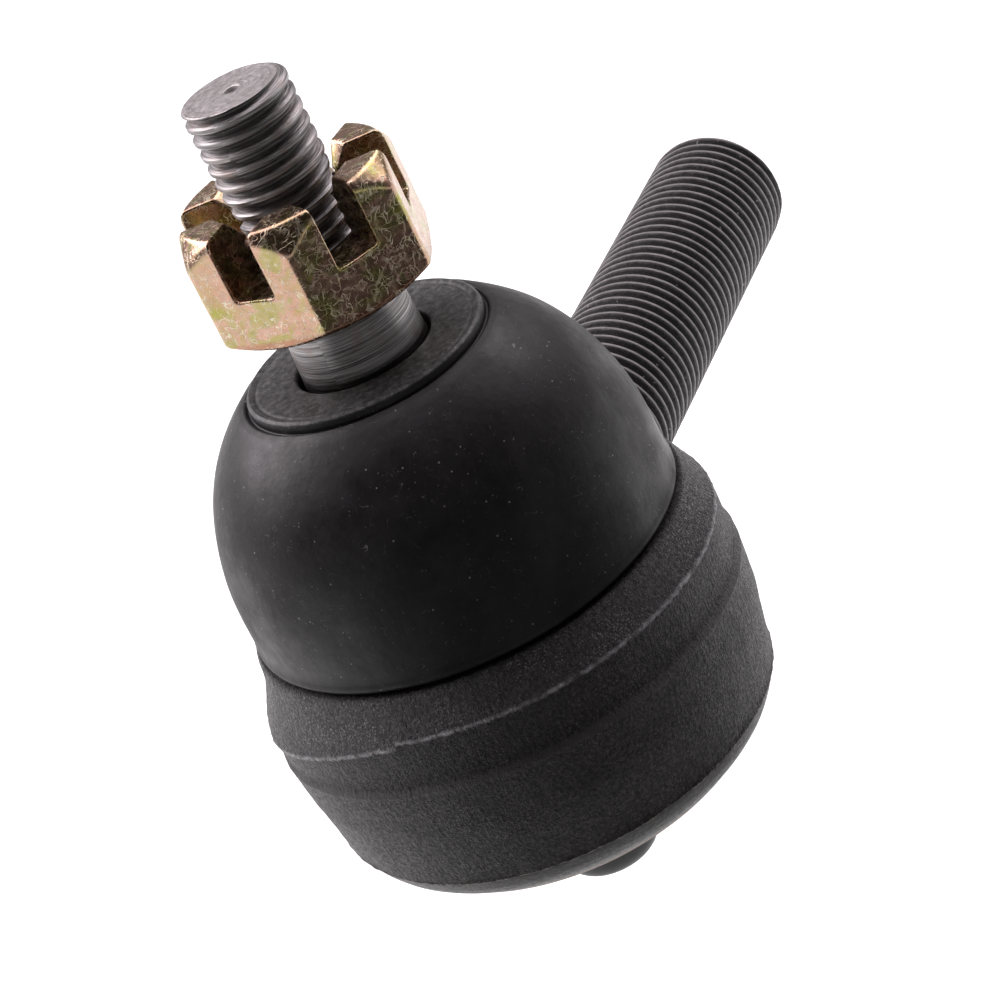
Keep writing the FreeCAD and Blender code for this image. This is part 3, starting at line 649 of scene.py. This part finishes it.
def make_housing(material):
    """Turned socket with a rolled lip, joined to the forged root and threaded shank."""
    corners = [
        (11.8, 11.1, 0.3), (13.4, 12.6, 0.3), (18.6, 12.6, 0.6), (19.2, 11.4, 0.5), (19.2, 7.9, 0.0),
        (22.3, 7.9, 0.5), (EDGE_R, EDGE_Z, 0.25), (24.28, -0.7, 0.4), (24.72, -1.55, 0.3),
        (24.3, -7.0, 8.0), (23.35, -13.45, 0.12), (23.32, RIM_Z, 0.08), (23.05, -13.88, 0.08),
        (22.45, -15.75, 5.0), (19.6, LIP_Z, 0.9), (17.2, LIP_Z, 0.3), (17.2, -16.0, 0.1),
        (18.5, -16.0, 0.0), (18.5, -14.2, 0.0), (CAVITY_R, -14.2, 0.3),
    ]
    dome_angles = np.linspace(0.03, math.acos(11.8 / CAVITY_R), 24)
    cavity = [(CAVITY_R, z) for z in np.linspace(-13.6, 0, 26)]
    cavity += [(CAVITY_R * math.cos(a), CAVITY_R * math.sin(a)) for a in dome_angles]
    outline = np.concatenate([rounded(corners, 0.45), np.array(cavity)])
    columns = 420
    points, faces = turned(outline, columns, loop=True)
    grid = points.reshape(len(outline), columns, 3)
    r = np.hypot(grid[..., 0], grid[..., 1])
    z = grid[..., 2]
    azimuth = np.arctan2(grid[..., 1], grid[..., 0])
    low_side = np.exp(-((azimuth - LOW_SIDE) / LOW_SPREAD) ** 2) * (r > 19)
    drop_share = np.interp(z, (-8, -1.5, EDGE_Z, 6.5, 7.9, 9), (0, BELT_SHARE, 1, 0.6, 0, 0))
    lower = low_side * EDGE_DROP * drop_share
    wider = low_side * np.interp(z, (-1.5, EDGE_Z, 7.0), (0, 0.5, 0))
    skin = (r > 20) & (z < 7.6) & (z > RIM_Z + 0.3)
    lump = 0.05 * rough(grid, 1.6) + 0.09 * rough(grid, 5.0, 7.0)
    burr = 0.16 * np.maximum(0, rough(grid, 0.9, 3.0)) + 0.10 * rough(grid, 3.0, 5.0)
    at_rim = np.exp(-((z - RIM_Z) / 0.22) ** 2) * (r > 22)
    at_edge = np.exp(-((z - EDGE_Z) / 0.25) ** 2) * (r > 23.6)
    raised = 0.12 * np.maximum(0, rough(grid, 0.8, 13.0) + 0.4) * at_edge
    change = lump * skin + burr * at_rim - 0.05 * skin + raised + wider
    outward = 1 + change / np.maximum(r, 1)
    grid = grid * np.stack([outward, outward, np.ones_like(r)], -1)
    grid[..., 2] -= 0.12 * at_rim * rough(grid, 1.3, 9.0) + lower
    socket = solid("housing", [(grid.reshape(-1, 3), faces)], material, sharp=50)
    return combine(socket, make_shank(), "UNION", sharp=50)


def make_shank():
    """The forged root, the round neck and the thread, all along X."""
    columns = 160
    angle = np.arange(columns) * 2 * math.pi / columns
    rows = []
    for x in np.linspace(18.6, NECK_X, 44):
        t = float(smooth_step(20.5, 28.8, np.array(x)))
        flare = 1.1 * math.exp(-max(0.0, x - 22.0) / 1.2)
        width = 12.2 + (NECK_R - 12.2) * t + flare
        height = 8.4 + (NECK_R - 8.4) * t + flare * 0.6
        power = 2 / (2.5 - 0.5 * t)
        y = width * np.sign(np.cos(angle)) * np.abs(np.cos(angle)) ** power
        z = height * np.sign(np.sin(angle)) * np.abs(np.sin(angle)) ** power - 1.6 * (1 - t)
        rows.append(np.stack([np.full_like(y, x), y, z], axis=-1))
    root = np.array(rows)
    lumps = 0.05 * rough(root, 1.6, 2.0)[..., None] * smooth_step(NECK_X, NECK_X - 2, root[..., :1])
    root = root + lumps * np.array([0, 0.7, 0.7])
    along, turn = spiral(NECK_X, SHANK_END_X, SHANK_PITCH, 10, columns)
    crest_at = SHANK_CREST_X + SHANK_PITCH * (turn - SHANK_CREST_TURN) / (2 * math.pi)
    drop = thread_drop((along - crest_at) / SHANK_PITCH, SHANK_PITCH, 0.16, 0.14)
    r = NECK_R + (SHANK_R - NECK_R) * smooth_step(NECK_X + 0.2, NECK_X + 1.0, along)
    r = np.minimum(r, SHANK_R)
    r = r - drop * smooth_step(SHANK_THREAD_X - 0.6, SHANK_THREAD_X + 1.2, along)
    r = np.minimum(r, SHANK_R - 1.1 + (SHANK_END_X - along))
    spots = np.stack([along, r * np.cos(turn), r * np.sin(turn)], axis=-1)
    dents = 0.10 * np.minimum(0, rough(spots, 1.1, 4.0) + 0.35)
    fade = smooth_step(NECK_X, NECK_X + 1, along) * smooth_step(SHANK_END_X, SHANK_END_X - 1, along)
    r = r + (dents + 0.02 * rough(spots, 0.7)) * fade
    thread = np.stack([along, r * np.cos(turn), r * np.sin(turn)], axis=-1)
    face = []
    for radius, place in closing_rings(r[-1], SHANK_END_X, np.linspace(1, 0, 14)):
        face.append(np.stack([place, radius * np.cos(angle), radius * np.sin(angle)], axis=-1))
    back = np.array([root[0] * np.array([1, share, share]) + np.array([0, 0, -1.6 * (1 - share)])
                     for share in np.linspace(0, 1, 8)])
    parts = [lattice(back), lattice(root), lattice(thread, shift=10), lattice(np.array(face))]
    return solid("shank", parts, None, sharp=50)


def make_stud(material):
    """Ball, neck, taper and thread, with the split pin's cross hole."""
    columns = 180
    ball_angles = np.linspace(math.asin(BALL_FLAT_Z / BALL_R), math.acos(5.6 / BALL_R), 60)
    ball = [(BALL_R * math.cos(a), BALL_R * math.sin(a)) for a in ball_angles]
    lower = [(r, BALL_FLAT_Z) for r in (0, 2, 4)] + ball
    upper = rounded([(*ball[-1], 0), (5.6, 11.2, 0.4), (5.6, 16.5, 1.5), (6.98, 20, 1.5),
                     (5.86, 37.85, 0.15), (5.5, 38.0, 0), (STUD_R, 38.0, 0), (STUD_R, THREAD_LOW_Z, 0)], 0.5)
    body = turned(np.concatenate([np.array(lower), upper[1:]]), columns)
    along, turn = spiral(THREAD_LOW_Z, STUD_TOP_Z, STUD_PITCH, 14, columns)
    crest_at = STUD_CREST_Z + STUD_PITCH * (turn - CAMERA_AZIMUTH) / (2 * math.pi)
    turns_up = (along - crest_at) / STUD_PITCH
    drop = thread_drop(turns_up, STUD_PITCH, 0.20, 0.08)
    off_crest = turns_up - np.round(turns_up)
    crease = 0.05 * np.exp(-(off_crest / 0.05) ** 2)
    r = STUD_R - drop * smooth_step(THREAD_LOW_Z, THREAD_LOW_Z + 1.5, along) - crease
    nut_top_z = NUT_LOW_Z + NUT_HEIGHT
    r = r + (0.20 + 0.06 * drop) * smooth_step(nut_top_z - 0.6, nut_top_z + 1.0, along)
    r = np.minimum(r, 4.85 + 0.32 * np.sqrt(np.clip((STUD_TOP_Z - along) / 0.7, 0, 1)))
    r = np.where(along <= THREAD_LOW_Z, STUD_R, r)
    thread = np.stack([r * np.cos(turn), r * np.sin(turn), along], axis=-1)
    angle = turn[0]
    face = []
    shares = [1, 0.985, 0.96, 0.9, 0.8, 0.65, 0.5, 0.35, 0.22, 0.16, 0.12, 0.08, 0.04, 0]
    for radius, place in closing_rings(r[-1], STUD_TOP_Z, shares, lambda q: np.maximum(0, 0.7 - q)):
        face.append(np.stack([radius * np.cos(angle), radius * np.sin(angle), place], axis=-1))
    stud = solid("ball_stud", [body, lattice(thread, shift=14), lattice(np.array(face))], material, sharp=50)
    hole = solid("hole", [turned([(0, -8), (PIN_HOLE_R, -8), (PIN_HOLE_R, 8), (0, 8)], 40)], material)
    across = Matrix.Rotation(math.radians(114), 4, "Z") @ Matrix.Rotation(math.radians(90), 4, "Y")
    hole.matrix_world = Matrix.Translation(Vector((0, 0, PIN_HOLE_Z)) * MM) @ across
    return combine(stud, hole, "DIFFERENCE", sharp=50)


def nut_field(x, y, z):
    """Below 0 inside the slotted nut, whose foot is at z 0."""
    r = np.hypot(x, y)
    turn = np.arctan2(y, x)
    corner_r = NUT_FLATS / math.sqrt(3)
    wave = 0.03 * np.sin(x * 1.3 + z) * np.sin(y * 1.1 - z * 0.7)
    body = None
    slots = None
    for i in range(3):
        a = NUT_CLOCKING + math.radians(30 + 60 * i)
        flat = np.abs(x * math.cos(a) + y * math.sin(a)) - NUT_FLATS / 2 + wave * 0.5
        body = flat if body is None else soft_max(body, flat, 0.5)
        across = np.abs(y * math.cos(a) - x * math.sin(a))
        slot = soft_max(across - NUT_SLOT_WIDTH / 2, NUT_SLOT_FLOOR - z + wave * 2, 0.5)
        slots = slot if slots is None else np.minimum(slots, slot)
    run = corner_r - NUT_CROWN_R
    crown = (r - NUT_CROWN_R) * NUT_CROWN_DROP + (z - NUT_HEIGHT) * run
    crown = crown / math.hypot(NUT_CROWN_DROP, run)
    foot = ((r - 9.5) * 1.15 - z * (corner_r - 9.5)) / math.hypot(1.15, corner_r - 9.5)
    body = soft_max(body, crown, 0.35)
    body = soft_max(body, foot, 0.35)
    body = soft_max(body, z - NUT_HEIGHT + wave, 0.3)
    body = soft_max(body, -z, 0.3)
    phase = (z + NUT_LOW_Z - STUD_CREST_Z) / STUD_PITCH - (turn - CAMERA_AZIMUTH) / (2 * math.pi)
    bore_r = 5.6 - 0.55 * np.abs(2 * (phase - np.floor(phase)) - 1)
    bore_r = np.maximum(bore_r, 5.04)
    bore_r = np.maximum(bore_r, 6.9 - (NUT_HEIGHT - z) * (6.9 - 5.03) / 2.6)
    bore_r = np.maximum(bore_r, 5.9 - z)
    body = soft_max(body, (bore_r - r) * 0.8, 0.2)
    return soft_max(body, -slots, 0.22)


def make_nut(material):
    points, faces = net(nut_field, (-12, -12, -0.6), (12, 12, 12.5), 0.16)
    points = points + np.array([0, 0, NUT_LOW_Z])
    return solid("castle_nut", [(points, faces)], material, sharp=60, weld=0.0005)


def boot_radius(z):
    """The boot's outside radius at a height."""
    body = BOOT_R * np.sqrt(np.maximum(0, 1 - np.abs((z - 10) / 24.5) ** 2.5))
    return np.where(z > 10, body, BOOT_R + 0.2 * smooth_step(10, 8, z))


def make_boot(material):
    """Dome with a flat moulded lip, a bead and groove round the lip, and recesses for its two rings."""
    tuck = [(22.0 - 0.8 + 0.8 * math.cos(a), 8.85 + 0.8 * math.sin(a))
            for a in np.linspace(-math.pi / 2, 0, 7)]
    outer = tuck + [(float(boot_radius(np.array(z))), z) for z in np.linspace(9.1, 29.9, 60)]
    lip = rounded([(13.2, 30.45, 0.5), (12.45, 30.78, 0.25), (12.15, 30.45, 0.1), (12.0, 30.5, 0.08),
                   (11.9, 31.38, 0.15), (11.6, BOOT_LIP_Z, 0.15), (11.25, 31.52, 0.12), (11.0, 31.36, 0.12),
                   (10.7, 31.46, 0.3), (6.95, 31.5, 0.3), (6.75, 31.2, 0.15),
                   (6.75, 28.5, 0.2), (8.2, 28.4, 0), (8.2, 30.0, 0), (10.6, 30.0, 0), (10.6, 28.4, 0),
                   (11.5, 28.3, 0.3)], 0.3)
    inner = [(float(boot_radius(np.array(z + 1.3))) - 2.0, z) for z in np.linspace(27.6, 13.0, 34)]
    foot = rounded([(20.3, 12.1, 0), (20.3, 8.2, 0), (19.26, 8.2, 0), (19.26, 8.05, 0), (21.5, 8.05, 0)], 0.4)
    outline = np.concatenate([np.array(outer), lip, np.array(inner), foot])
    columns = 240
    points, faces = turned(outline, columns, 0.09, 6.0, 1.0, loop=True)
    return solid("dust_boot", [(points, faces)], material, sharp=50)


def make_cover(material):
    """Pressed plate with a dished middle and a hole for the grease fitting."""
    corners = [(3.03, -15.4, 0.1), (3.03, -17.2, 0.15), (9.8, -17.2, 0.7), (11.2, -15.97, 0.7),
               (18.47, -15.97, 0.15), (18.47, -14.23, 0.15), (12.0, -14.23, 0.7), (10.8, -15.4, 0.7)]
    plate = turned(rounded(corners, 0.35, closed=True), 240, 0.02, 4.0, 3.0, loop=True)
    return solid("cover_plate", [plate], material, sharp=50)


def fitting_field(x, y, z):
    """Below 0 inside the bored fitting: a hexagon, a threaded shank above it, a neck and head below."""
    r = np.hypot(x, y)
    hexagon = None
    for i in range(3):
        a = math.radians(30 + 60 * i)
        flat = np.abs(x * math.cos(a) + y * math.sin(a)) - 4.0
        hexagon = flat if hexagon is None else soft_max(hexagon, flat, 0.2)
    chamfer = (r - 4.35 - np.minimum(z + 20.23, -17.23 - z) * 1.2) / 1.56
    hexagon = soft_max(soft_max(hexagon, chamfer, 0.15), np.abs(z + 18.73) - 1.5, 0.15)
    ridge = 0.22 * np.abs(2 * (z - np.floor(z)) - 1)
    shank = np.maximum(np.maximum(r - 3.0 + ridge * (z > -17.0), z + 14.9), -18.0 - z)
    neck = np.maximum(r - 2.35, np.maximum(z + 18.5, -27.0 - z))
    head = soft_max(r - 3.2, (r - 2.35 + (z + 25.6) * 1.21) / 1.57, 0.2)
    head = soft_max(head, (r - 1.9 - (z + 28.4) * 0.93) / 1.37, 0.2)
    head = soft_max(head, np.maximum(-28.4 - z, z + 25.3), 0.1)
    body = np.minimum(soft_min(soft_min(hexagon, neck, 0.3), head, 0.3), shank)
    bore_r = np.where(z > -26.8, 1.25, 0.8)
    bore_r = np.where(z > -15.7, 0.8, bore_r)
    return soft_max(body, bore_r - r, 0.08)


def make_fitting(material):
    points, faces = net(fitting_field, (-5.2, -5.2, -28.9), (5.2, 5.2, -14.4), 0.13)
    return solid("grease_fitting_body", [(points, faces)], material, sharp=50, weld=0.0005)


def make_cap(material):
    """Rubber cap with a groove round it near its open end."""
    outline = rounded([(0, -30.4, 0), (5.3, -30.4, 1.9), (5.3, -24.2, 0.1), (5.12, -24.0, 0.1),
                       (5.12, -23.6, 0.1), (5.3, -23.4, 0.15), (5.3, -22.6, 0.3), (3.6, -22.6, 0.2),
                       (3.6, -24.6, 0), (3.6, -28.5, 0.3), (3.2, -28.9, 0.3), (0, -28.9, 0)], 0.25)
    return solid("grease_fitting_cap", [turned(outline, 120, 0.02, 2.0, 5.0)], material, sharp=50)


def make_check_spring(material):
    """Small coil spring, its ends drawn in to nothing inside the wire."""
    low, high, coil_r, wire_r, turns = -25.12, -15.86, 0.85, 0.16, 11
    along = np.linspace(0, 1, turns * 28 + 1)
    wire = np.full_like(along, wire_r)
    along = np.concatenate([[0], along, [1]])
    wire = np.concatenate([[0], wire, [0]])
    turn = (along * turns * 2 * math.pi)[:, None]
    around = (np.arange(10) * 2 * math.pi / 10)[None, :]
    r = coil_r + wire[:, None] * np.cos(around)
    z = low + (high - low) * along[:, None] + wire[:, None] * np.sin(around)
    points = np.stack([r * np.cos(turn), r * np.sin(turn), z], axis=-1)
    return solid("grease_check_spring", [lattice(points)], material, sharp=50)


# ---------------------------------------------------------------- camera, floor and light

def aim(obj, place, target, roll=0.0):
    direction = Vector(target) - Vector(place)
    turn = direction.to_track_quat("-Z", "Y").to_matrix().to_4x4()
    obj.matrix_world = Matrix.Translation(Vector(place)) @ turn @ Matrix.Rotation(roll, 4, "Z")


def make_camera():
    camera = bpy.data.objects.new("camera", bpy.data.cameras.new("camera"))
    bpy.context.scene.collection.objects.link(camera)
    camera.data.lens = 106.854
    camera.data.clip_start = 0.01
    aim(camera, (-0.20838, -0.14183, 0.14045), (0.0066, -0.0019, 0.0089), math.radians(-26.29))
    bpy.context.scene.camera = camera


def softbox(name, place, target, size, watts):
    lamp = bpy.data.lights.new(name, "AREA")
    lamp.shape = "RECTANGLE"
    lamp.size, lamp.size_y = size
    lamp.energy = watts
    lamp.color = STUDIO_TINT
    obj = bpy.data.objects.new(name, lamp)
    bpy.context.scene.collection.objects.link(obj)
    aim(obj, place, target)
    return obj


def make_world():
    """Soft light from every side, dimmer from the camera's side. The camera itself sees plain white."""
    world = bpy.data.worlds.new("studio")
    bpy.context.scene.world = world
    world.use_nodes = True
    tree = world.node_tree
    tree.nodes.clear()
    output = tree.nodes.new("ShaderNodeOutputWorld")
    background = tree.nodes.new("ShaderNodeBackground")
    tree.links.new(background.outputs[0], output.inputs[0])
    coordinates = tree.nodes.new("ShaderNodeTexCoord")
    dot = tree.nodes.new("ShaderNodeVectorMath")
    dot.operation = "DOT_PRODUCT"
    dot.inputs[1].default_value = (-0.79, -0.53, 0.30)
    tree.links.new(coordinates.outputs["Generated"], dot.inputs[0])
    ramp = tree.nodes.new("ShaderNodeMapRange")
    ramp.interpolation_type = "SMOOTHSTEP"
    for socket, value in zip(ramp.inputs[1:5], (-0.3, 0.7, 0.30, 0.02)):
        socket.default_value = value
    tree.links.new(dot.outputs["Value"], ramp.inputs[0])
    path = tree.nodes.new("ShaderNodeLightPath")
    seen = tree.nodes.new("ShaderNodeMath")
    seen.operation = "MULTIPLY_ADD"
    seen.inputs[1].default_value = 1.2
    tree.links.new(path.outputs["Is Camera Ray"], seen.inputs[0])
    tree.links.new(ramp.outputs[0], seen.inputs[2])
    tree.links.new(seen.outputs[0], background.inputs["Strength"])
    background.inputs["Color"].default_value = (*STUDIO_TINT, 1)


def make_floor():
    """A wide pale floor, low enough for the cap to be pulled off above it."""
    size, count = 4.0, 64
    side = np.linspace(-size, size, count)
    x, y = np.meshgrid(side, side, indexing="ij")
    points = np.stack([x, y, np.full_like(x, FLOOR_Z * MM)], axis=-1).reshape(-1, 3)
    index = np.arange(count * count).reshape(count, count)
    quads = np.stack([index[:-1, :-1], index[1:, :-1], index[1:, 1:], index[:-1, 1:]], -1).reshape(-1, 4)
    mesh = bpy.data.meshes.new("floor")
    mesh.from_pydata(points.tolist(), [], quads.tolist())
    floor = bpy.data.objects.new("floor", mesh)
    bpy.context.scene.collection.objects.link(floor)
    paint = Paint("floor_white", Roughness=0.9, Specular_IOR_Level=0.1, Emission_Color=(1, 1, 1, 1),
                  Emission_Strength=0.97)
    paint.wear(Base_Color=paint.ramp(paint.noise(0.01, 2.0), (0.3, grey(0.38)), (0.7, grey(0.40))))
    mesh.materials.append(paint.material)


def make_flag():
    """An unseen dark card on the camera's side of the floor, that keeps the floor's light off the front and
    gives dark reflections; it glows dimly towards the middle, lighting the low sides from below.
    """
    near, far = 0.026, 0.50
    start, end = math.radians(158), math.radians(292)
    angles = np.linspace(start, end, 25)
    points = [(q * math.cos(a), q * math.sin(a), (FLOOR_Z + 0.6) * MM) for q in (near, far) for a in angles]
    count = len(angles)
    quads = [(i, i + 1, count + i + 1, count + i) for i in range(count - 1)]
    mesh = bpy.data.meshes.new("flag")
    mesh.from_pydata(points, [], quads)
    flag = bpy.data.objects.new("flag", mesh)
    bpy.context.scene.collection.objects.link(flag)
    paint = Paint("flag_grey_glow", Roughness=0.9, Specular_IOR_Level=0.1, Emission_Color=(1, 0.93, 0.96, 1))
    glow = paint.span(paint.radius(paint.x, paint.y), 70.0, 100.0, 0.34, 0.02)
    paint.wear(Base_Color=paint.ramp(paint.noise(0.05, 2.0), (0.3, grey(0.02)), (0.7, grey(0.03))),
               Emission_Strength=glow)
    mesh.materials.append(paint.material)
    flag.visible_camera = False
    flag.visible_shadow = False


# ---------------------------------------------------------------- the scene

make_camera()
make_world()
make_floor()
make_flag()
softbox("back_left", (0.05, 0.55, 0.45), (0, 0, 0.01), (0.5, 0.5), 5)
softbox("back_right", (0.55, -0.25, 0.50), (0.02, 0, 0.01), (0.5, 0.4), 2.6)
softbox("overhead", (0.15, 0.10, 0.75), (0.02, 0, 0), (0.6, 0.6), 3)
bpy.context.scene.view_settings.view_transform = "Standard"

finishes = {
    "forged_black": forged_black(),
    "plate_black": plate_black(),
    "turned_steel": turned_steel(),
    "yellow_zinc": yellow_zinc(),
    "boot_rubber": boot_rubber(),
    "cap_rubber": plain("cap_rubber", (0.03, 0.029, 0.03), 0.42, 0.0),
    "bearing_plastic": plain("bearing_plastic", (0.78, 0.75, 0.66), 0.45, 0.0, 2.0),
    "spring_steel": plain("spring_steel", (0.50, 0.50, 0.52), 0.34, 1.0, 0.8),
    "fitting_zinc": plain("fitting_zinc", (0.66, 0.64, 0.60), 0.30, 1.0, 0.7),
}

looks = {
    "housing": (make_housing, "forged_black", "housing"),
    "cover_plate": (make_cover, "plate_black", "housing"),
    "ball_stud": (make_stud, "turned_steel", "stud"),
    "castle_nut": (make_nut, "yellow_zinc", "nut"),
    "grease_fitting_body": (make_fitting, "fitting_zinc", "housing"),
    "grease_fitting_cap": (make_cap, "cap_rubber", "fitting_cap"),
}
for node, (make, finish, body) in looks.items():
    piece = make(finishes[finish])
    piece.name = "visual_" + node
    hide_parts(node)
    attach(piece, body)

boot = make_boot(finishes["boot_rubber"])
boot.name = "visual_dust_boot"
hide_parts("dust_boot")
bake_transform(boot)

coil = make_check_spring(finishes["spring_steel"])
coil.name = "visual_grease_check_spring"
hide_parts("grease_check_spring")
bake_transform(coil)

slots = {part["node"]: part["material_slot"] for part in frame["record"]["subparts"]}
for node in ("upper_bearing_seat", "lower_bearing_seat", "preload_spring", "boot_base_ring", "boot_lip_ring",
             "grease_check_ball"):
    piece = frame["nodes"][node]
    piece.data.materials.clear()
    piece.data.materials.append(finishes[slots[node]])
